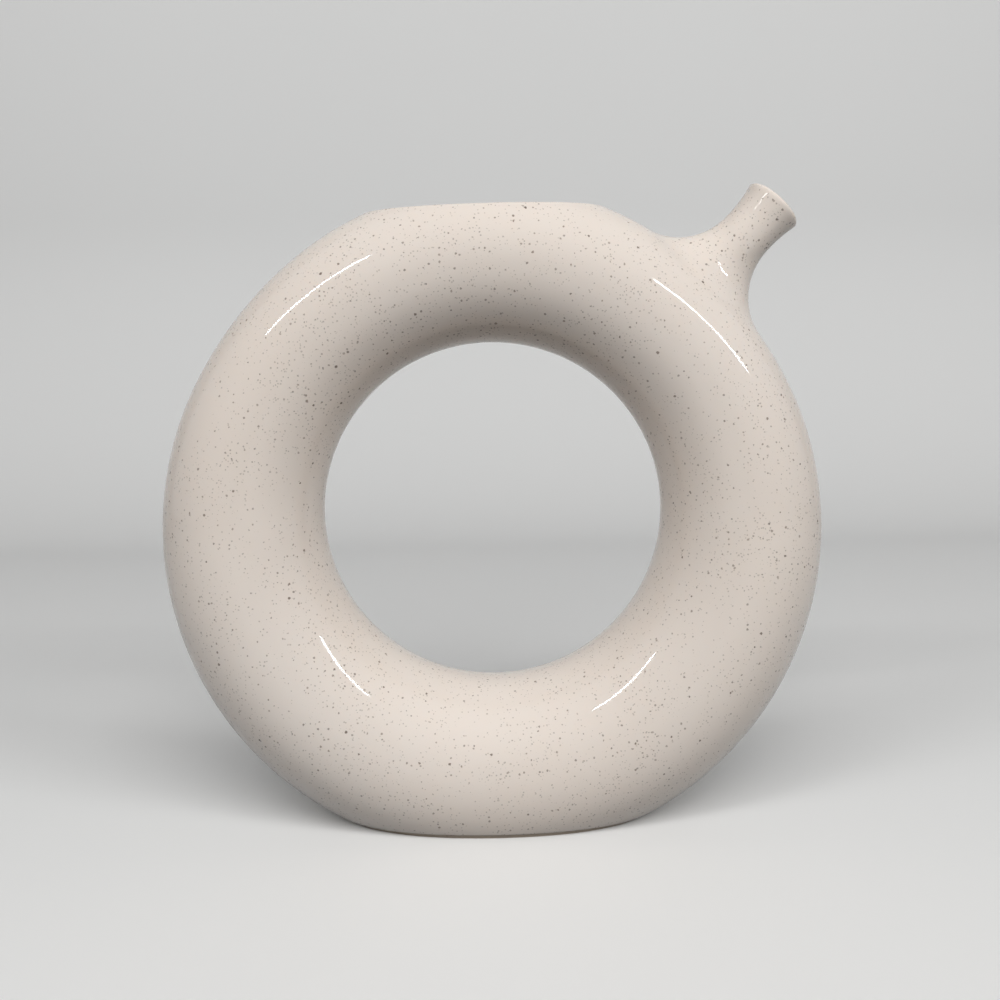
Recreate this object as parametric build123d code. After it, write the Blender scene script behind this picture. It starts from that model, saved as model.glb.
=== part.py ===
from build123d import *
import os
from math import atan2, cos, pi, radians, sin, sqrt

os.makedirs("parts", exist_ok=True)

# Donut vase: a hollow stoneware ring standing on a flat foot, with a flat-cut open mouth
# along its top and a slim flared spout pointing up to the right.
# X runs along the ring, Y through its hole, Z up. The origin is the middle of the foot.

# Ring, seen from the front (mm)
ring_radius = 120.0          # outer radius of the ring
ring_height = 104.3          # height of the ring's centre above the foot
hole_radius = 62.0           # radius of the hole through the ring
hole_rise = 8.4              # the hole sits this far above the ring's centre
shoulder_rise = 5.0          # extra height that the outline would reach at its top
shoulder_reach = 60.0        # degrees each side of the top over which the extra height fades
section_count = 24           # circular sections that the ring passes through

# Layers, from the outside in (mm)
glaze = 0.4                  # outer speckled glaze
wall = 3.8                   # fired clay
liner = 0.4                  # clear glaze on the inside
slip = 0.3                   # clay slip in each joint
floor = 5.0                  # clay under the hollow, above the foot

# Mouth and foot (mm)
rim_height = 220.6           # height of the cut rim above the foot, over the ring's centre
rim_tilt = 0.9               # degrees that the rim rises towards the spout
mouth_length = 75.0          # opening of the mouth along the ring, an ellipse
mouth_width = 32.0           # opening of the mouth from front to back
mouth_shift = 1.5            # the mouth's middle is this far from the ring's, away from the spout
mouth_depth = 16.0           # how far the mouth's upright wall is cut down, into the hollow
bare_foot = 1.6              # height at which the outer glaze stops above the foot

# Spout, along its own axis (mm)
spout_angle = 46.5           # degrees that the spout's axis leans up from level
spout_offset = 7.1           # the axis passes this far above the ring's centre
spout_reach = 155.4          # from beside the ring's centre to the spout's lip
neck_radius = 9.5            # narrowest outer radius of the neck
flare_length = 13.0          # length of the widening towards the lip
lip_radius = 11.2            # outer radius of the lip
lip_round = 1.6              # rounding of the lip's outer edge
bore_radius = 6.2            # glazed bore through the neck
bore_mouth_radius = 8.6      # the bore's radius at the lip
bore_mouth_depth = 5.0       # depth of the bore's wider mouth
blend_radius = 24.0          # sweep of the neck into the ring
saddle_radius = 20.0         # the spout's clay piece is this wide where it sits in the ring

overrun = 10.0               # how far cutting shapes run past what they cut

# Share of the ring's radius up to which the rim is cut towards the spout
mouth_limit_share = 0.52

ring_centre = Vector(0, 0, ring_height)
spout_along = Vector(cos(radians(spout_angle)), 0, sin(radians(spout_angle)))
spout_across = Vector(-sin(radians(spout_angle)), 0, cos(radians(spout_angle)))
spout_origin = ring_centre + spout_across * spout_offset
spout_plane = Plane(origin=spout_origin, x_dir=spout_across, z_dir=spout_along)
rim_centre = Vector(0, 0, rim_height)
cut_size = ring_radius + shoulder_rise + spout_reach
inner_face = glaze + wall
liner_face = glaze + wall + liner


def outline_radius(angle):
    """Distance from the ring's centre to its outer edge in the direction of the angle."""
    from_top = abs((angle + pi / 2) % (2 * pi) - pi)
    fade = min(from_top / radians(shoulder_reach), 1)
    return ring_radius + shoulder_rise * cos(fade * pi / 2) ** 2


def hole_edge(angle):
    """Distance from the ring's centre to the edge of the hole, whose centre is higher."""
    along = hole_rise * sin(angle)
    return along + sqrt(hole_radius**2 - hole_rise**2 + along**2)


def tube_centre(angle):
    return (outline_radius(angle) + hole_edge(angle)) / 2


def tube_radius(angle):
    return (outline_radius(angle) - hole_edge(angle)) / 2


def tube_section(angle, inset):
    """One round section of the ring, made smaller all round by the inset."""
    outwards = Vector(cos(angle), 0, sin(angle))
    onwards = Vector(-sin(angle), 0, cos(angle))
    centre = ring_centre + outwards * tube_centre(angle)
    return Plane(origin=centre, x_dir=(0, 1, 0), z_dir=onwards) * Circle(tube_radius(angle) - inset)


def ring_form(inset):
    """The whole ring as one closed loft that ends on the section it starts from."""
    angles = [2 * pi * count / section_count + pi for count in range(section_count)]
    sections = [tube_section(angle, inset) for angle in angles]
    return loft(sections + sections[:1])


def box_between(low, high):
    size = [upper - lower for lower, upper in zip(low, high)]
    middle = [(upper + lower) / 2 for lower, upper in zip(low, high)]
    return Pos(*middle) * Box(*size)


def below(height):
    """Everything below a level."""
    return box_between((-cut_size, -cut_size, height - cut_size), (cut_size, cut_size, height))


def above_rim(inset):
    """Everything above the tilted rim, as far as the place where the spout starts."""
    limit = ring_radius * mouth_limit_share
    cut = box_between((-cut_size, -cut_size, -inset), (limit, cut_size, cut_size))
    return Pos(*rim_centre) * Rot(0, -rim_tilt, 0) * cut


def in_front_of(depth):
    """Everything further forward than a depth in front of the ring's middle plane."""
    return box_between((-cut_size, -cut_size, -cut_size), (cut_size, -depth, cut_size))


# The spout starts in the middle of the ring's tube, at the ring angle that its axis crosses.
spout_ring_angle = radians(spout_angle) + atan2(spout_offset, tube_centre(radians(spout_angle)))
spout_root = tube_centre(spout_ring_angle)


def turned_on_spout(profile):
    """Turns a half profile, drawn as radius and distance along the spout, about its axis."""
    return spout_plane * Rot(0, 0, -90) * revolve(Plane.XZ * profile, Axis.Z)


def neck_form(inset):
    """Outside of the neck: straight, then an arc that widens to the rounded lip."""
    top = spout_reach - inset
    narrow = neck_radius - inset
    flare_start = spout_reach - flare_length
    flare_height = top - flare_start
    flare_rise = lip_radius - neck_radius
    flare_radius = (flare_length**2 + flare_rise**2) / (2 * flare_rise) + inset
    growth = flare_radius - sqrt(flare_radius**2 - flare_height**2)
    half = flare_height / 2
    half_growth = flare_radius - sqrt(flare_radius**2 - half**2)
    start = (narrow, flare_start)
    middle = (narrow + half_growth, flare_start + half)
    end = (narrow + growth, top)
    side = Polyline((0, top), (0, spout_root), (narrow, spout_root), start)
    flare = ThreePointArc(start, middle, end)
    lip = Line(end, (0, top))
    profile = make_face(side + flare + lip)
    corner = profile.vertices().sort_by(lambda point: point.X + point.Y)[-1]
    return turned_on_spout(fillet(corner, lip_round - inset))


def bore_form(inset):
    """Space inside the neck, open at the lip and wider by what the inset leaves off."""
    wider = liner_face - inset
    straight = bore_radius + wider
    mouth = bore_mouth_radius + wider
    end = spout_reach + overrun
    mouth_start = spout_reach - bore_mouth_depth
    points = [(0, spout_root), (straight, spout_root), (straight, mouth_start),
              (mouth, spout_reach), (mouth, end), (0, end)]
    return turned_on_spout(make_face(Polyline(*points, close=True)))


def off_spout_axis(point):
    return (point - spout_origin).cross(spout_along).length


def blended(ring, neck, radius):
    """Joins the front of a neck to the front of a ring and sweeps the joint between them."""
    body = (ring & in_front_of(0)) + (neck & in_front_of(0))
    joint = [edge for edge in body.edges().filter_by(GeomType.BSPLINE)
             if -edge.center().Y > bore_radius / 2 and off_spout_axis(edge.center()) < saddle_radius]
    return fillet(joint, radius)


def front_outside(inset, foot_height):
    """Front half of the outer shape without its hollow, cut flat at the rim and the foot."""
    ring = ring_form(inset) - below(foot_height) - above_rim(inset)
    return blended(ring, neck_form(inset), blend_radius + inset)


def front_hollow(inset):
    """Front half of the space inside the ring and the spout, flat above the foot."""
    ring = ring_form(inset) - below(floor + inset - inner_face)
    return blended(ring, bore_form(inset), blend_radius + inset)


def mouth_form(spare):
    """Upright cut of the mouth, larger all round by the spare."""
    outline = Ellipse(mouth_length / 2 + spare, mouth_width / 2 + spare)
    cut = extrude(outline, mouth_depth + shoulder_rise + overrun)
    return Pos(-mouth_shift, 0, rim_height - mouth_depth) * cut


def whole(front):
    """Adds the matching rear to a front half."""
    return front + mirror(front, about=Plane.XZ)


front_hollow_space = front_hollow(inner_face)
front_clay_outside = front_outside(glaze, 0) - mouth_form(glaze)
front_clay = front_clay_outside - front_hollow_space

# Spout with its saddle, set in a round hole in the ring's wall on a thin ring of slip
saddle_align = (Align.CENTER, Align.CENTER, Align.MIN)
saddle_start = spout_plane * Pos(0, 0, spout_root)
saddle_length = spout_reach - spout_root + overrun
saddle = saddle_start * Cylinder(saddle_radius, saddle_length, align=saddle_align)
saddle_hole = saddle_start * Cylinder(saddle_radius + slip, saddle_length, align=saddle_align)
front_ring_wall = front_clay - saddle_hole
spout = whole(front_clay & saddle)
spout_joint_slip = whole((front_clay & saddle_hole) - saddle)

# Two moulded halves that meet on a layer of slip half way through the ring
front_half_shell = front_ring_wall & in_front_of(slip / 2)
rear_half_shell = mirror(front_half_shell, about=Plane.XZ)
seams = whole(front_ring_wall - in_front_of(slip / 2)).solids().sort_by(SortBy.VOLUME)
shoulder_seam_slip, hole_seam_slip, outer_seam_slip = seams

# The outer glaze folds over the rim and the lip to meet the glaze that lines the inside
front_glazed_outside = front_outside(0, bare_foot)
front_outer_glaze = front_glazed_outside - mouth_form(0) - front_hollow_space - front_clay_outside
front_liner_glaze = (front_hollow_space - front_hollow(liner_face)) & front_glazed_outside

nodes = {
    "front_half_shell": front_half_shell,
    "rear_half_shell": rear_half_shell,
    "spout": spout,
    "spout_joint_slip": spout_joint_slip,
    "hole_seam_slip": hole_seam_slip,
    "outer_seam_slip": outer_seam_slip,
    "shoulder_seam_slip": shoulder_seam_slip,
    "outer_glaze": whole(front_outer_glaze),
    "liner_glaze": whole(front_liner_glaze - mouth_form(0)),
}
for name, piece in nodes.items():
    export_step(piece, f"parts/{name}.step")
    print(name, len(piece.solids()), round(piece.volume))
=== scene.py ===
import math
import bpy
import numpy as np
from mathutils import Matrix, Vector


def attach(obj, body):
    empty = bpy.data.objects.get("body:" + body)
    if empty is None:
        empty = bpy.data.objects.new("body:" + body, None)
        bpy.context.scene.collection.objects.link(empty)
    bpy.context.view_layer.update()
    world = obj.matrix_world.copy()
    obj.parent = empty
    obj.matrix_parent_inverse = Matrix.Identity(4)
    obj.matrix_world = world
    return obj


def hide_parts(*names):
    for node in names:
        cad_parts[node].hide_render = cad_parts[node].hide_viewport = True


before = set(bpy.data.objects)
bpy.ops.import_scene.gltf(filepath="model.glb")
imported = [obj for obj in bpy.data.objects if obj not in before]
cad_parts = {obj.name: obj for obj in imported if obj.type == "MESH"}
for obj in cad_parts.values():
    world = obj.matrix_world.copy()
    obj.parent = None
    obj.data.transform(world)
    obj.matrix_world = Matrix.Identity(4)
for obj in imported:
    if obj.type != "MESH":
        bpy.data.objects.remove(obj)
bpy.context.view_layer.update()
print("frame loaded")

# Sizes in metres. The vase stands at the origin: X along the ring, Y through its hole, Z up.
# u is the angle round the ring, from +X towards +Z, and v the angle round its tube, 0 outermost.
ring = {
    "radius": 0.120,
    "height": 0.1043,                       # of the ring's centre above the foot
    "holeRadius": 0.062,
    "holeRise": 0.0084,                     # of the hole's centre above the ring's
    "shoulderRise": 0.005,                  # how much further out the top would reach
    "shoulderReach": math.radians(60),      # over which that fades, each side of the top
    "stepsRound": 240,
    "stepsTube": 112,
}
layers = {
    "lining": 0.0046,                       # from the outer skin in to the lining's skin
    "glaze": 0.0004,                        # its thickness, for the hem above the foot
    "bareFoot": 0.0016,                     # height at which the outer glaze stops
    "floor": 0.0054,                        # height of the lining's floor
}


def outlineRadius(u):
    # the ring's radius, plus the shoulder's rise times cos squared, fading out each side of the top
    fromTop = np.abs((u + math.pi / 2) % (2 * math.pi) - math.pi)
    fade = np.minimum(fromTop / ring["shoulderReach"], 1)
    return ring["radius"] + ring["shoulderRise"] * np.cos(fade * math.pi / 2) ** 2


def holeEdge(u):
    # distance from the ring's centre to a circle whose centre lies higher by the rise
    along = ring["holeRise"] * np.sin(u)
    return along + np.sqrt(ring["holeRadius"] ** 2 - ring["holeRise"] ** 2 + along ** 2)


def tubeCentre(u):
    # half way between the outline and the hole's edge
    return (outlineRadius(u) + holeEdge(u)) / 2


def tubeRadius(u):
    # half of what lies between the hole's edge and the outline
    return (outlineRadius(u) - holeEdge(u)) / 2


def ringPoint(u, v, inset):
    # a circle of the tube's radius less the inset, in the radial plane at angle u round the ring
    reach = tubeRadius(u) - inset
    rho = tubeCentre(u) + reach * np.cos(v)
    return np.stack([rho * np.cos(u), reach * np.sin(v), ring["height"] + rho * np.sin(u)], -1)


def ringPolar(points):
    # the angle round the ring's axis, and the distance from that axis
    above = points[:, 2] - ring["height"]
    return np.arctan2(above, points[:, 0]), np.hypot(points[:, 0], above)


def ringAngles(points):
    # u as the angle round the ring's axis, v as the angle round the tube's centre
    u, rho = ringPolar(points)
    return u, np.arctan2(points[:, 1], rho - tubeCentre(u))


def ringGap(points, inset):
    # distance from the tube's centre in the radial plane, less the inset tube's radius
    u, rho = ringPolar(points)
    return np.hypot(rho - tubeCentre(u), points[:, 1]) - tubeRadius(u) + inset


def ringNormal(points):
    # the direction from the tube's centre, in the radial plane, of length one
    u, rho = ringPolar(points)
    flat = rho - tubeCentre(u)
    size = np.hypot(flat, points[:, 1])
    return np.stack([flat / size * np.cos(u), points[:, 1] / size, flat / size * np.sin(u)], -1)


halvings = 48                               # enough to bring an interval down to rounding


def solve(placeAt, level, inset, low, high):
    # halves the interval until the gap at the place equals the level; the gap grows with the step
    low = np.full(level.shape, low)
    high = np.full(level.shape, high)
    for turn in range(halvings):
        middle = (low + high) / 2
        over = ringGap(placeAt(middle), inset) > level
        high = np.where(over, middle, high)
        low = np.where(over, low, middle)
    return placeAt((low + high) / 2)


def unit(rows):
    # each row divided by its length
    return rows / np.linalg.norm(rows, axis=1, keepdims=True)


def arcBetween(centre, start, end, radius, steps):
    # turns from one direction to the other at an even rate: each is weighted by the sine of its
    # share of the angle between them, over the sine of the whole angle
    angle = np.arccos(np.clip(np.sum(start * end, 1), -1, 1))[:, None]
    loops = []
    for share in np.linspace(0, 1, steps):
        turned = np.sin((1 - share) * angle) * start + np.sin(share * angle) * end
        loops.append(centre + radius * turned / np.sin(angle))
    return loops


def flatEllipse(turn, middle, long, wide, step, height):
    # points of a level ellipse at a share of its half sizes: cosine along X, sine along Y
    x = middle + step * long * np.cos(turn)
    y = step * wide * np.sin(turn)
    return np.stack([x, y, np.full(x.shape, height)], -1)


def evenSteps(start, end, steps):
    # loops at even shares of the way between two loops, both of them left out
    return [start + (end - start) * share for share in np.linspace(0, 1, steps + 2)[1:-1]]


class Skin:
    # gathers patches of quads and joins points that agree to a ten-thousandth of a millimetre
    joinSteps = 1e7                         # per metre

    def __init__(self):
        self.points = []
        self.quads = []
        self.caps = []
        self.count = 0

    def add(self, points, quads):
        # quads count from the first of their own points
        self.points.append(points)
        self.quads.append(quads + self.count)
        self.count += len(points)

    def addLoops(self, loops):
        # a quad between each two neighbours of a loop and the same two of the next loop
        size = len(loops[0])
        here = np.arange(size)
        after = (here + 1) % size
        rows = []
        for row in range(len(loops) - 1):
            first, second = row * size, (row + 1) * size
            rows.append(np.stack([here + first, here + second, after + second, after + first], -1))
        self.add(np.concatenate(loops), np.concatenate(rows))

    def addCap(self, loop):
        # one face that closes a loop
        self.caps.append(np.arange(len(loop)) + self.count)
        self.points.append(loop)
        self.count += len(loop)

    def build(self, name):
        # points that round to the same step become one
        points = np.concatenate(self.points)
        quads = np.concatenate(self.quads)
        keys = np.round(points * self.joinSteps).astype(np.int64)
        first, place = np.unique(keys, axis=0, return_index=True, return_inverse=True)[1:]
        place = place.reshape(-1)
        faces = place[quads].tolist() + [place[cap].tolist() for cap in self.caps]
        mesh = bpy.data.meshes.new(name)
        mesh.from_pydata(points[first].tolist(), [], faces)
        mesh.shade_smooth()
        made = bpy.data.objects.new(name, mesh)
        bpy.context.scene.collection.objects.link(made)
        return made


# Windows left out of the ring's grid, where the spout, the mouth and the foot are fitted in: first
# and last step round the ring, half the width in steps round the tube, and loops on each skin
windows = {
    "spout": {"first": 18, "last": 43, "half": 16, "outerLoops": 10, "innerLoops": 8},
    "mouth": {"first": 43, "last": 79, "half": 19, "outerLoops": 9, "innerLoops": 8},
    "foot": {"first": 156, "last": 204, "half": 23, "outerLoops": 9, "innerLoops": 8},
}


def windowEdge(window):
    # u and v of the grid's points round the window, and the direction of each from its middle
    first, last, half = window["first"], window["last"], window["half"]
    centre = ring["stepsTube"] // 2
    low, high = centre - half, centre + half
    across = np.arange(first, last)
    up = np.arange(low, high)
    i = np.concatenate([across, np.full(len(up), last), across[::-1] + 1, np.full(len(up), first)])
    j = np.concatenate([np.full(len(across), low), up, np.full(len(across), high), up[::-1] + 1])
    middle = (first + last) / 2
    turn = np.arctan2((j - centre) / half, (i - middle) / ((last - first) / 2))
    u = i * 2 * math.pi / ring["stepsRound"]
    v = j * 2 * math.pi / ring["stepsTube"] - math.pi
    return u, v, turn


def windowLoops(window, target, inset, steps):
    # loops on the tube whose u and v go evenly from the window's edge to a loop inside it
    u, v = windowEdge(window)[:2]
    targetU, targetV = ringAngles(target)
    targetU = u + (targetU - u + math.pi) % (2 * math.pi) - math.pi
    loops = []
    for share in np.linspace(0, 1, steps):
        loops.append(ringPoint(u + (targetU - u) * share, v + (targetV - v) * share, inset))
    return loops


def outerWindow(name, target):
    # on the outer skin, from the window's edge to the loop
    return windowLoops(windows[name], target, 0.0, windows[name]["outerLoops"])


def innerWindow(name, target):
    # on the lining's skin, from the loop back to the window's edge
    return windowLoops(windows[name], target, layers["lining"], windows[name]["innerLoops"])[::-1]


def addRing(skin, inset, inwards):
    # the tube as a grid of even steps in u and v, less its windows
    stepsRound, stepsTube = ring["stepsRound"], ring["stepsTube"]
    i, j = np.meshgrid(np.arange(stepsRound), np.arange(stepsTube), indexing="ij")
    u = i * 2 * math.pi / stepsRound
    v = j * 2 * math.pi / stepsTube - math.pi
    points = ringPoint(u.ravel(), v.ravel(), inset)
    nextI, nextJ = (i + 1) % stepsRound, (j + 1) % stepsTube
    corners = [(i, j), (i, nextJ), (nextI, nextJ), (nextI, j)]
    if inwards:
        corners.reverse()
    quads = np.stack([a * stepsTube + b for a, b in corners], -1)
    kept = np.ones(i.shape, bool)
    for window in windows.values():
        inRound = (i >= window["first"]) & (i < window["last"])
        inTube = np.abs(j + 0.5 - stepsTube / 2) < window["half"]
        kept &= ~(inRound & inTube)
    skin.add(points, quads[kept])


spout = {
    "angle": math.radians(46.5),            # that the axis leans up from level
    "offset": 0.0071,                       # the axis passes this far above the ring's centre
    "reach": 0.1554,                        # from beside the ring's centre to the lip
    "neckRadius": 0.0095,
    "flareLength": 0.013,
    "flareCut": 0.9,                        # the flare ends this share of lipRound below the lip
    "lipRadius": 0.0112,
    "lipRound": 0.0016,
    "innerRound": 0.0006,                   # where the lip turns down into the bore
    "boreRadius": 0.0062,
    "boreMouthRadius": 0.0086,
    "boreMouthDepth": 0.005,
    "boreMouthFade": 0.0015,                # this much deeper, the bore has its own radius
    "borePower": 1.3,                       # of the sine by which it narrows
    "blendRadius": 0.024,                   # of the sweep from the neck into the ring
    "blendSearch": (0.09, 0.2),             # along the axis, between which the sweep's ball lies
    "outerSweepLoops": 18,
    "innerSweepLoops": 14,
    "straightLoops": 3,
    "flarePoints": 9,
    "lipPoints": 7,
    "innerLipPoints": 6,
    "borePoints": 8,
}
spoutAlong = np.array([math.cos(spout["angle"]), 0, math.sin(spout["angle"])])
spoutAcross = np.array([-math.sin(spout["angle"]), 0, math.cos(spout["angle"])])
spoutOrigin = np.array([0, 0, ring["height"]]) + spoutAcross * spout["offset"]


def spoutBlend(turn, wallRadius, blendRadius, inset, steps):
    # a ball rolls round the neck, touching the neck and the ring, and leaves its arc between them
    aside = np.outer(np.cos(turn), spoutAcross) + np.outer(np.sin(turn), [0, 1, 0])

    def place(step):
        return spoutOrigin + np.outer(step, spoutAlong) + aside * (wallRadius + blendRadius)
    ball = solve(place, np.full(turn.shape, blendRadius), inset, *spout["blendSearch"])
    return arcBetween(ball, -ringNormal(ball), -aside, blendRadius, steps), aside


def spoutLoop(aside, radius, along):
    # a circle round the axis, this far along it
    return spoutOrigin + spoutAlong * along + aside * radius


def spoutProfile():
    # radius and distance along the axis: a circle's arc up the flare, a quarter circle over the lip,
    # a smaller one down into the bore, and a power of a sine that narrows to the bore's radius
    top = spout["reach"]
    rise = spout["lipRadius"] - spout["neckRadius"]
    bend = (spout["flareLength"] ** 2 + rise ** 2) / (2 * rise)
    start = top - spout["flareLength"]
    profile = []
    for share in np.linspace(0, 1, spout["flarePoints"]):
        height = (spout["flareLength"] - spout["lipRound"] * spout["flareCut"]) * share
        profile.append((spout["neckRadius"] + bend - math.sqrt(bend ** 2 - height ** 2), start + height))
    outer = profile[-1][0]
    size = spout["lipRound"]
    for angle in np.linspace(0, math.pi / 2, spout["lipPoints"])[1:]:
        profile.append((outer - size + size * math.cos(angle), top - size + size * math.sin(angle)))
    inner = spout["boreMouthRadius"]
    size = spout["innerRound"]
    for angle in np.linspace(math.pi / 2, math.pi, spout["innerLipPoints"]):
        profile.append((inner + size + size * math.cos(angle), top - size + size * math.sin(angle)))
    drop = inner - spout["boreRadius"]
    for share in np.linspace(0, 1, spout["borePoints"])[1:]:
        depth = size + (spout["boreMouthDepth"] + spout["boreMouthFade"] - size) * share
        narrower = drop * math.sin(share * math.pi / 2) ** spout["borePower"]
        profile.append((inner - narrower, top - depth))
    return profile


def addSpout(skin):
    # up the sweep and the profile outside, then down the bore and its own sweep to the lining
    turn = windowEdge(windows["spout"])[2]
    outside, aside = spoutBlend(turn, spout["neckRadius"], spout["blendRadius"], 0.0,
                                spout["outerSweepLoops"])
    inside = spoutBlend(turn, spout["boreRadius"], spout["blendRadius"] + layers["lining"],
                        layers["lining"], spout["innerSweepLoops"])[0]
    neck = [spoutLoop(aside, radius, along) for radius, along in spoutProfile()]
    skin.addLoops(outerWindow("spout", outside[0]) + outside[1:]
                  + evenSteps(outside[-1], neck[0], spout["straightLoops"]) + neck
                  + evenSteps(neck[-1], inside[-1], spout["straightLoops"]) + inside[::-1][:-1]
                  + innerWindow("spout", inside[0]))


mouth = {
    "rimHeight": 0.2206,                    # above the foot, over the ring's centre
    "rimTilt": math.radians(0.9),           # the rim rises towards the spout
    "length": 0.075,
    "width": 0.032,
    "middle": -0.0015,
    "outerRound": 0.0026,
    "innerRound": 0.0011,
    "search": (0.045, 0.02),                # half sizes of an ellipse near the rim's outer edge
    "searchShares": (0.2, 1.6),             # of them, between which that edge lies
    "wallSearch": 0.02,                     # the wall ends less than this far below the rim
    "roundLoops": 7,
    "rimLoops": 3,
    "wallLoops": 2,
}


def rimPlane(points):
    # height as the rim's height plus X times the tangent of its tilt
    height = mouth["rimHeight"] + points[:, 0] * math.tan(mouth["rimTilt"])
    return np.stack([points[:, 0], points[:, 1], height], -1)


def rimLoop(turn):
    # where the tube meets the tilted rim: an ellipse on it grows until its points lie on the tube
    def place(step):
        return rimPlane(flatEllipse(turn, mouth["middle"], *mouth["search"], step, 0.0))
    return solve(place, np.zeros(turn.shape), 0.0, *mouth["searchShares"])


def addMouth(skin):
    # an arc about a ball that touches the tube and the rim from inside, the flat rim, a quarter circle
    # round the opening's ellipse, and its upright wall down to where the wall meets the lining
    turn = math.pi - windowEdge(windows["mouth"])[2]
    corner = rimLoop(turn)
    upwards = np.array([-math.sin(mouth["rimTilt"]), 0, math.cos(mouth["rimTilt"])])
    upwards = np.tile(upwards, (len(turn), 1))
    sideways = ringNormal(corner)
    meeting = 1 + np.sum(sideways * upwards, 1, keepdims=True)
    ball = corner - (sideways + upwards) * mouth["outerRound"] / meeting
    rounded = arcBetween(ball, sideways, upwards, mouth["outerRound"], mouth["roundLoops"])
    edge = flatEllipse(turn, mouth["middle"], mouth["length"] / 2, mouth["width"] / 2, 1.0, 0.0)
    away = unit(np.stack([np.cos(turn) / mouth["length"], np.sin(turn) / mouth["width"],
                          np.zeros(turn.shape)], -1))
    small = mouth["innerRound"]
    above = np.array([0, 0, 1.0])
    folded = []
    for angle in np.linspace(math.pi / 2, 0, mouth["roundLoops"]):
        loop = rimPlane(edge + away * small * (1 - math.cos(angle)))
        folded.append(loop - above * small * (1 - math.sin(angle)))

    def rise(step):
        return rimPlane(edge) + np.outer(step, above) - above * mouth["wallSearch"]
    wallEnd = solve(rise, np.zeros(turn.shape), layers["lining"], 0.0, mouth["wallSearch"])
    skin.addLoops(outerWindow("mouth", rounded[0]) + rounded[1:]
                  + evenSteps(rounded[-1], folded[0], mouth["rimLoops"]) + folded
                  + evenSteps(folded[-1], wallEnd, mouth["wallLoops"])
                  + innerWindow("mouth", wallEnd))


foot = {
    "search": (0.06, 0.03),                 # half sizes of an ellipse near the foot's edge
    "searchShares": (0.2, 1.6),             # of them, between which that edge lies
    "hemLoops": 5,
    "bedLoops": 6,
    "bedShare": 0.9,                        # of the way to the middle, where one face closes the floor
}


def levelLoop(turn, height, inset):
    # where the inset tube meets a level: an ellipse there grows until its points lie on the tube
    def place(step):
        return flatEllipse(turn, 0.0, *foot["search"], step, height)
    return solve(place, np.zeros(turn.shape), inset, *foot["searchShares"])


def addFoot(skin):
    # outside, a quarter circle as thick as the glaze rolls its edge in above the bare foot; inside,
    # the loops of the level floor go evenly towards its middle
    turn = windowEdge(windows["foot"])[2]
    hemHeight = layers["bareFoot"]
    thick = layers["glaze"]
    hem = []
    for angle in np.linspace(0, math.pi / 2, foot["hemLoops"]):
        height = hemHeight + thick * (1 - math.sin(angle))
        hem.append(levelLoop(turn, height, thick * (1 - math.cos(angle))))
    hem.append(levelLoop(turn, hemHeight, thick * 2))
    skin.addLoops(outerWindow("foot", hem[0]) + hem[1:])
    bed = levelLoop(turn, layers["floor"], layers["lining"])
    inwards = np.array([0, 0, layers["floor"]]) - bed
    shares = np.linspace(foot["bedShare"], 0, foot["bedLoops"])
    skin.addLoops([bed + inwards * share for share in shares] + innerWindow("foot", bed))
    skin.addCap(bed + inwards * foot["bedShare"])


def makeGlaze():
    # one skin: the ring and its lining, the spout, the mouth and the foot, joined where they meet
    skin = Skin()
    addRing(skin, 0.0, False)
    addRing(skin, layers["lining"], True)
    addSpout(skin)
    addMouth(skin)
    addFoot(skin)
    return skin.build("glaze")


glaze = makeGlaze()
print("glaze built:", len(glaze.data.polygons), "faces")
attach(glaze, "root")
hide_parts("outer_glaze", "liner_glaze")


class Nodes:
    # short ways to add nodes, set their values and join them

    def __init__(self, tree):
        self.tree = tree

    def add(self, kind, values=None, **settings):
        # an input takes a value, or a link if it is given another node's output
        node = self.tree.nodes.new(kind)
        for name, value in settings.items():
            setattr(node, name, value)
        for name, value in (values or {}).items():
            if isinstance(value, bpy.types.NodeSocket):
                self.tree.links.new(value, node.inputs[name])
            else:
                node.inputs[name].default_value = value
        return node

    def noise(self, place, scale, detail):
        # smooth random values, with the scale per metre
        return self.add("ShaderNodeTexNoise", {"Vector": place, "Scale": scale, "Detail": detail}).outputs

    def math(self, operation, a, b):
        # the operation on two values
        return self.add("ShaderNodeMath", {0: a, 1: b}, operation=operation).outputs[0]

    def ramp(self, value, low, high):
        # 0 up to the low value, 1 from the high one, smooth between
        return self.add("ShaderNodeMapRange", {"Value": value, "From Min": low, "From Max": high},
                        interpolation_type="SMOOTHSTEP").outputs["Result"]

    def mix(self, share, a, b):
        # the first colour at share 0, the second at share 1, by the node's inputs for colours
        node = self.add("ShaderNodeMix", {"Factor": share}, data_type="RGBA")
        for slot, value in ((6, a), (7, b)):
            if isinstance(value, bpy.types.NodeSocket):
                self.tree.links.new(value, node.inputs[slot])
            else:
                node.inputs[slot].default_value = (*value, 1)
        return node.outputs[2]

    def setSurface(self, shader):
        # the shader becomes what the material shows
        out = self.add("ShaderNodeOutputMaterial")
        self.tree.links.new(shader.outputs[0], out.inputs["Surface"])


speckShape = {
    "wobble": (1900.0, 1.0),                # scale and detail of the noise that bends dots out of round
    "wobbleSize": 0.0005,
    "patches": (34.0, 3.0),                 # scale and detail of the noise behind the busier areas
    "leastSize": 0.45,                      # of a dot, as a share of the size given
    "edge": (-0.02, 0.06),                  # inwards over a dot's edge, in cells, from clear to full
}


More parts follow.
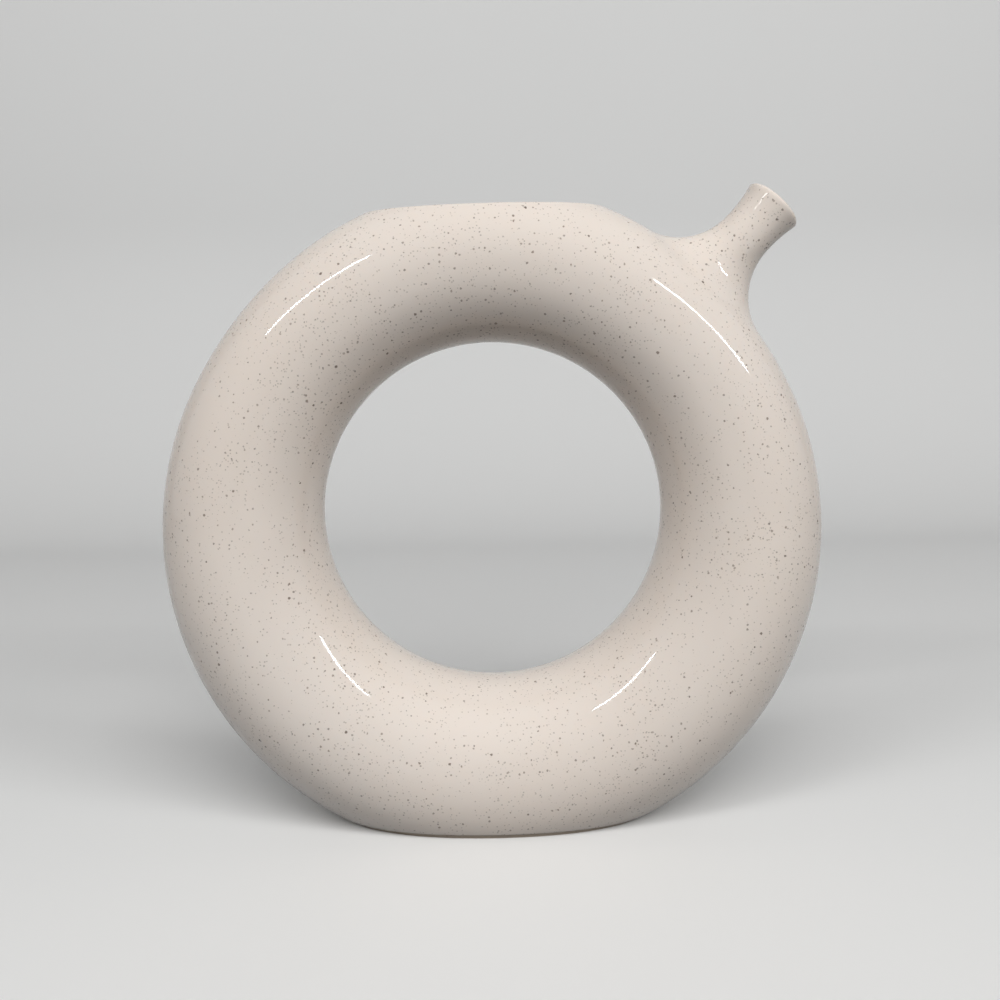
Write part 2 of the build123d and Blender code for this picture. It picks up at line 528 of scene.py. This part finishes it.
def makeSpeckGroup():
    # dots at the points of a cell pattern: the size of each dot and whether it shows come from
    # the cell's own random colour, and slow noise makes some areas busier than others
    group = bpy.data.node_groups.new("specks", "ShaderNodeTree")
    for name in ("Spacing", "Size", "Amount", "Unevenness"):
        group.interface.new_socket(name, in_out="INPUT", socket_type="NodeSocketFloat")
    group.interface.new_socket("Place", in_out="INPUT", socket_type="NodeSocketVector")
    group.interface.new_socket("Mask", in_out="OUTPUT", socket_type="NodeSocketFloat")
    group.interface.new_socket("Tone", in_out="OUTPUT", socket_type="NodeSocketFloat")
    nodes = Nodes(group)
    given = nodes.add("NodeGroupInput").outputs
    wobble = nodes.noise(given["Place"], *speckShape["wobble"])["Color"]
    size = (speckShape["wobbleSize"],) * 3
    shifted = nodes.add("ShaderNodeVectorMath", {0: wobble, 1: size}, operation="MULTIPLY").outputs[0]
    place = nodes.add("ShaderNodeVectorMath", {0: given["Place"], 1: shifted}, operation="ADD").outputs[0]
    cells = nodes.add("ShaderNodeTexVoronoi", {"Vector": place, "Scale": given["Spacing"]})
    parts = nodes.add("ShaderNodeSeparateColor", {"Color": cells.outputs["Color"]}).outputs
    slow = nodes.noise(given["Place"], *speckShape["patches"])["Fac"]
    swing = nodes.math("MULTIPLY", nodes.math("SUBTRACT", slow, 0.5), given["Unevenness"])
    amount = nodes.math("MULTIPLY", given["Amount"], nodes.math("ADD", swing, 1.0))
    shown = nodes.math("LESS_THAN", parts["Red"], amount)
    share = nodes.math("ADD", parts["Green"], speckShape["leastSize"])
    radius = nodes.math("MULTIPLY", given["Size"], share)
    edge = nodes.math("SUBTRACT", radius, cells.outputs["Distance"])
    dot = nodes.ramp(edge, *speckShape["edge"])
    mask = nodes.math("MULTIPLY", dot, shown)
    out = nodes.add("NodeGroupOutput")
    group.links.new(mask, out.inputs["Mask"])
    group.links.new(parts["Blue"], out.inputs["Tone"])
    return group


def addSpecks(nodes, group, place, look):
    # spacing is cells per metre, size a dot's radius as a share of its cell, amount the share of the
    # cells that have a dot, and unevenness how much that share swings from area to area
    return nodes.add("ShaderNodeGroup", {
        "Spacing": look["spacing"], "Size": look["size"], "Amount": look["amount"],
        "Unevenness": look["unevenness"], "Place": place}, node_tree=group).outputs


def newMaterial(name):
    # an empty material and the helper for its nodes
    material = bpy.data.materials.new(name)
    material.use_nodes = True
    material.node_tree.nodes.clear()
    return material, Nodes(material.node_tree)


glazeLook = {
    "cream": (0.765, 0.694, 0.632),
    "warmer": (0.755, 0.672, 0.600),
    "cloud": (9.0, 3.0),                    # scale and detail of the noise between these two
    "cloudRange": (0.3, 0.7),
    "speck": (0.12, 0.085, 0.065),
    "paleSpeck": (0.33, 0.26, 0.21),
    "specks": (
        {"spacing": 880.0, "size": 0.2, "amount": 0.85, "unevenness": 4.0, "strength": 0.46},
        {"spacing": 600.0, "size": 0.19, "amount": 0.42, "unevenness": 4.0, "strength": 0.68},
        {"spacing": 480.0, "size": 0.19, "amount": 0.07, "unevenness": 4.0, "strength": 0.9},
    ),
    "roughness": 0.06,
    "ior": 1.5,
    "wave": (42.0, 2.0),                    # scale and detail of the waves in the gloss
    "waveStrength": 0.12,
    "waveDepth": 0.0006,
    "glow": 0.12,                           # share of light that travels inside the glaze
    "glowDepth": 0.002,
    "glowSpread": (1.0, 0.7, 0.5),
}


def makeGlazeMaterial(group):
    # cream glaze with three sizes of brown speck under a gloss that waves slightly
    material, nodes = newMaterial("speckled glaze")
    place = nodes.add("ShaderNodeTexCoord").outputs["Object"]
    cloud = nodes.noise(place, *glazeLook["cloud"])["Fac"]
    warm = nodes.ramp(cloud, *glazeLook["cloudRange"])
    colour = nodes.mix(warm, glazeLook["cream"], glazeLook["warmer"])
    for look in glazeLook["specks"]:
        specks = addSpecks(nodes, group, place, look)
        tint = nodes.mix(specks["Tone"], glazeLook["speck"], glazeLook["paleSpeck"])
        share = nodes.math("MULTIPLY", specks["Mask"], look["strength"])
        colour = nodes.mix(share, colour, tint)
    wave = nodes.noise(place, *glazeLook["wave"])["Fac"]
    ripple = nodes.add("ShaderNodeBump", {
        "Strength": glazeLook["waveStrength"], "Distance": glazeLook["waveDepth"], "Height": wave})
    shine = nodes.add("ShaderNodeBsdfPrincipled", {
        "Base Color": colour, "Roughness": glazeLook["roughness"], "IOR": glazeLook["ior"],
        "Subsurface Weight": glazeLook["glow"], "Subsurface Scale": glazeLook["glowDepth"],
        "Normal": ripple.outputs["Normal"]})
    shine.inputs["Subsurface Radius"].default_value = glazeLook["glowSpread"]
    nodes.setSurface(shine)
    return material


clayLook = {
    "colour": (0.60, 0.50, 0.40),
    "grit": (0.34, 0.26, 0.19),
    "roughness": 0.75,
}
slipLook = {
    "colour": (0.54, 0.44, 0.35),
    "grit": (0.30, 0.23, 0.17),
    "roughness": 0.8,
}
# What fired clay and slip have in common
clayGrain = {
    "deep": 0.86,                           # the deeper tone, as a share of the colour
    "cloud": (30.0, 4.0),                   # scale and detail of the noise between the two
    "cloudRange": (0.35, 0.65),
    "specks": {"spacing": 700.0, "size": 0.22, "amount": 0.4, "unevenness": 2.0, "strength": 0.7},
    "tooth": (2200.0, 3.0),                 # scale and detail of the fine tooth
    "toothStrength": 0.35,
    "toothDepth": 0.0002,
}


def makeClayMaterial(name, look, group):
    # matt fired clay: grit specks, a slow change of tone and fine tooth in the surface
    material, nodes = newMaterial(name)
    place = nodes.add("ShaderNodeTexCoord").outputs["Object"]
    cloud = nodes.noise(place, *clayGrain["cloud"])["Fac"]
    deep = tuple(value * clayGrain["deep"] for value in look["colour"])
    colour = nodes.mix(nodes.ramp(cloud, *clayGrain["cloudRange"]), look["colour"], deep)
    grit = addSpecks(nodes, group, place, clayGrain["specks"])
    share = nodes.math("MULTIPLY", grit["Mask"], clayGrain["specks"]["strength"])
    colour = nodes.mix(share, colour, look["grit"])
    tooth = nodes.noise(place, *clayGrain["tooth"])["Fac"]
    bump = nodes.add("ShaderNodeBump", {
        "Strength": clayGrain["toothStrength"], "Distance": clayGrain["toothDepth"], "Height": tooth})
    body = nodes.add("ShaderNodeBsdfPrincipled", {
        "Base Color": colour, "Roughness": look["roughness"], "Normal": bump.outputs["Normal"]})
    nodes.setSurface(body)
    return material


speckGroup = makeSpeckGroup()
glazeMaterial = makeGlazeMaterial(speckGroup)
glaze.data.materials.append(glazeMaterial)
clayMaterial = makeClayMaterial("fired clay", clayLook, speckGroup)
slipMaterial = makeClayMaterial("clay slip", slipLook, speckGroup)
nodeMaterials = {
    "front_half_shell": clayMaterial,
    "rear_half_shell": clayMaterial,
    "spout": clayMaterial,
    "spout_joint_slip": slipMaterial,
    "hole_seam_slip": slipMaterial,
    "outer_seam_slip": slipMaterial,
    "shoulder_seam_slip": slipMaterial,
    "outer_glaze": glazeMaterial,
    "liner_glaze": glazeMaterial,
}
for nodeName, material in nodeMaterials.items():
    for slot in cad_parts[nodeName].material_slots:
        slot.material = material
print("materials made")


def addSeenRays(nodes):
    # 1 for what the camera, a reflection or glass sees, 0 for the light that a surface passes on
    path = nodes.add("ShaderNodeLightPath").outputs
    seen = nodes.math("MAXIMUM", path["Is Camera Ray"], path["Is Glossy Ray"])
    return nodes.math("MAXIMUM", seen, path["Is Transmission Ray"])


floorLook = {
    "colour": (0.84, 0.84, 0.83),
    "dim": 0.985,                           # its cloudy tone, as a share of the colour
    "cloud": (3.0, 2.0),                    # scale and detail of the noise between the two
    "bounce": (0.15, 0.15, 0.15),           # the colour of the light that it passes on
    "roughness": 0.55,
    "front": 1.6,                           # how far it reaches in front of the vase
    "back": 0.9,                            # how far behind the vase the backdrop stands
    "bend": 0.35,
    "top": 2.2,
    "side": 2.4,                            # half the width
    "levelRows": 12,
    "bendRows": 24,
    "wallRows": 6,
    "columns": 5,
}


def makeFloor():
    # a level floor that bends up at the back through a quarter circle into an upright backdrop
    back, bend = floorLook["back"], floorLook["bend"]
    profile = [(y, 0.0) for y in np.linspace(-floorLook["front"], back - bend, floorLook["levelRows"])]
    profile += [(back - bend + bend * math.sin(a), bend - bend * math.cos(a))
                for a in np.linspace(0, math.pi / 2, floorLook["bendRows"])[1:]]
    profile += [(back, z) for z in np.linspace(bend, floorLook["top"], floorLook["wallRows"])[1:]]
    profile = np.array(profile)
    across = np.linspace(-floorLook["side"], floorLook["side"], floorLook["columns"])
    rows, columns = len(profile), len(across)
    x = np.tile(across, rows)
    y = np.repeat(profile[:, 0], columns)
    z = np.repeat(profile[:, 1], columns)
    i, j = np.meshgrid(np.arange(rows - 1), np.arange(columns - 1), indexing="ij")
    start = (i * columns + j).ravel()
    quads = np.stack([start, start + 1, start + columns + 1, start + columns], -1)
    mesh = bpy.data.meshes.new("floor")
    mesh.from_pydata(np.stack([x, y, z], -1).tolist(), [], quads.tolist())
    mesh.shade_smooth()
    floor = bpy.data.objects.new("floor", mesh)
    bpy.context.scene.collection.objects.link(floor)
    material, nodes = newMaterial("pale floor")
    place = nodes.add("ShaderNodeTexCoord").outputs["Object"]
    cloud = nodes.noise(place, *floorLook["cloud"])["Fac"]
    dim = tuple(value * floorLook["dim"] for value in floorLook["colour"])
    seen = nodes.mix(cloud, floorLook["colour"], dim)
    colour = nodes.mix(addSeenRays(nodes), floorLook["bounce"], seen)
    body = nodes.add("ShaderNodeBsdfPrincipled", {"Base Color": colour, "Roughness": floorLook["roughness"]})
    nodes.setSurface(body)
    floor.data.materials.append(material)
    return floor


makeFloor()
print("floor made")

# Soft lamps that reflections don't show, all turned to the same place in the vase
lampAim = (0, 0, 0.1)
lamps = [
    {"name": "overhead", "place": (0.0, -1.3, 2.0), "size": (2.0, 0.8), "power": 22.5},
    {"name": "front fill", "place": (0.25, -1.85, 1.5), "size": (2.2, 0.8), "power": 17.5},
    {"name": "left side", "place": (-1.7, -1.3, 1.3), "size": (0.9, 0.9), "power": 6.5},
    {"name": "right side", "place": (1.7, -1.3, 1.3), "size": (0.9, 0.9), "power": 10.0},
]


def newLamp(name, size, power):
    # a flat lamp that shines along its own -Z
    data = bpy.data.lights.new(name, "AREA")
    data.shape = "RECTANGLE"
    data.size, data.size_y = size
    data.energy = power
    lamp = bpy.data.objects.new(name, data)
    bpy.context.scene.collection.objects.link(lamp)
    return lamp


def makeLamp(look):
    # its Z points from the aim to its place
    lamp = newLamp(look["name"], look["size"], look["power"])
    lamp.visible_glossy = False
    place = Vector(look["place"])
    lamp.location = place
    lamp.rotation_euler = (place - Vector(lampAim)).to_track_quat("Z", "Y").to_euler()


# Bright bars whose reflections are the long highlights. Each end is given in degrees to the right of
# the camera's side and in degrees above level, seen from this height above the middle of the foot.
barLook = {
    "height": 0.11,
    "distance": 1.6,
    "width": 0.045,
    "power": 3.0,
}
bars = [
    {"name": "left bar", "start": (-56, 30.5), "end": (-33, 43.5)},
    {"name": "right bar", "start": (41.5, 36), "end": (62.5, 23.5)},
]


def barEnd(azimuth, height):
    # the distance times the cosines and sines of the two angles
    turn, lift, distance = math.radians(azimuth), math.radians(height), barLook["distance"]
    return Vector((distance * math.cos(lift) * math.sin(turn), -distance * math.cos(lift) * math.cos(turn),
                   barLook["height"] + distance * math.sin(lift)))


def makeBar(look):
    # a lamp between two places, its narrow side turned so that its face looks at the vase
    start, end, aim = barEnd(*look["start"]), barEnd(*look["end"]), Vector((0, 0, barLook["height"]))
    long = (end - start).normalized()
    facing = ((start + end) / 2 - aim).normalized()
    wide = facing.cross(long).normalized()
    facing = long.cross(wide).normalized()
    lamp = newLamp(look["name"], ((end - start).length, barLook["width"]), barLook["power"])
    axes = Matrix((long, wide, facing)).transposed().to_4x4()
    lamp.matrix_world = Matrix.Translation((start + end) / 2) @ axes


for look in lamps:
    makeLamp(look)
for look in bars:
    makeBar(look)

worldLook = {"colour": (0.95, 0.97, 1.0), "light": 0.03, "seen": 0.6}


def makeWorld():
    # one strength where it is seen, and a faint one for the light that it gives
    world = bpy.data.worlds.new("studio")
    bpy.context.scene.world = world
    world.use_nodes = True
    background = world.node_tree.nodes["Background"]
    nodes = Nodes(world.node_tree)
    strength = nodes.add("ShaderNodeMapRange", {
        "Value": addSeenRays(nodes), "To Min": worldLook["light"], "To Max": worldLook["seen"]})
    background.inputs["Color"].default_value = (*worldLook["colour"], 1)
    world.node_tree.links.new(strength.outputs["Result"], background.inputs["Strength"])


makeWorld()

# The photograph's camera, fitted to the outlines of the ring, its hole and the spout
photoView = {
    "place": (-0.00253, -0.36556, 0.16634),
    "yaw": math.radians(-0.803),
    "pitch": math.radians(-7.612),
    "roll": math.radians(0.925),
    "lens": 36.155,
    "sensor": 36.0,
    "clipStart": 0.01,
}


def makeCamera():
    # the camera's axes from its yaw, pitch and roll, turned about Z, X and Y in that order
    turned = (Matrix.Rotation(photoView["yaw"], 3, "Z") @ Matrix.Rotation(photoView["pitch"], 3, "X")
              @ Matrix.Rotation(photoView["roll"], 3, "Y"))
    right, forward, up = turned.col[0], turned.col[1], turned.col[2]
    data = bpy.data.cameras.new("photo view")
    data.sensor_width = photoView["sensor"]
    data.lens = photoView["lens"]
    data.clip_start = photoView["clipStart"]
    camera = bpy.data.objects.new("photo view", data)
    axes = Matrix((right, up, -forward)).transposed().to_4x4()
    camera.matrix_world = Matrix.Translation(photoView["place"]) @ axes
    bpy.context.scene.collection.objects.link(camera)
    bpy.context.scene.camera = camera


makeCamera()
bpy.context.scene.view_settings.view_transform = "Standard"
print("lights and camera made")
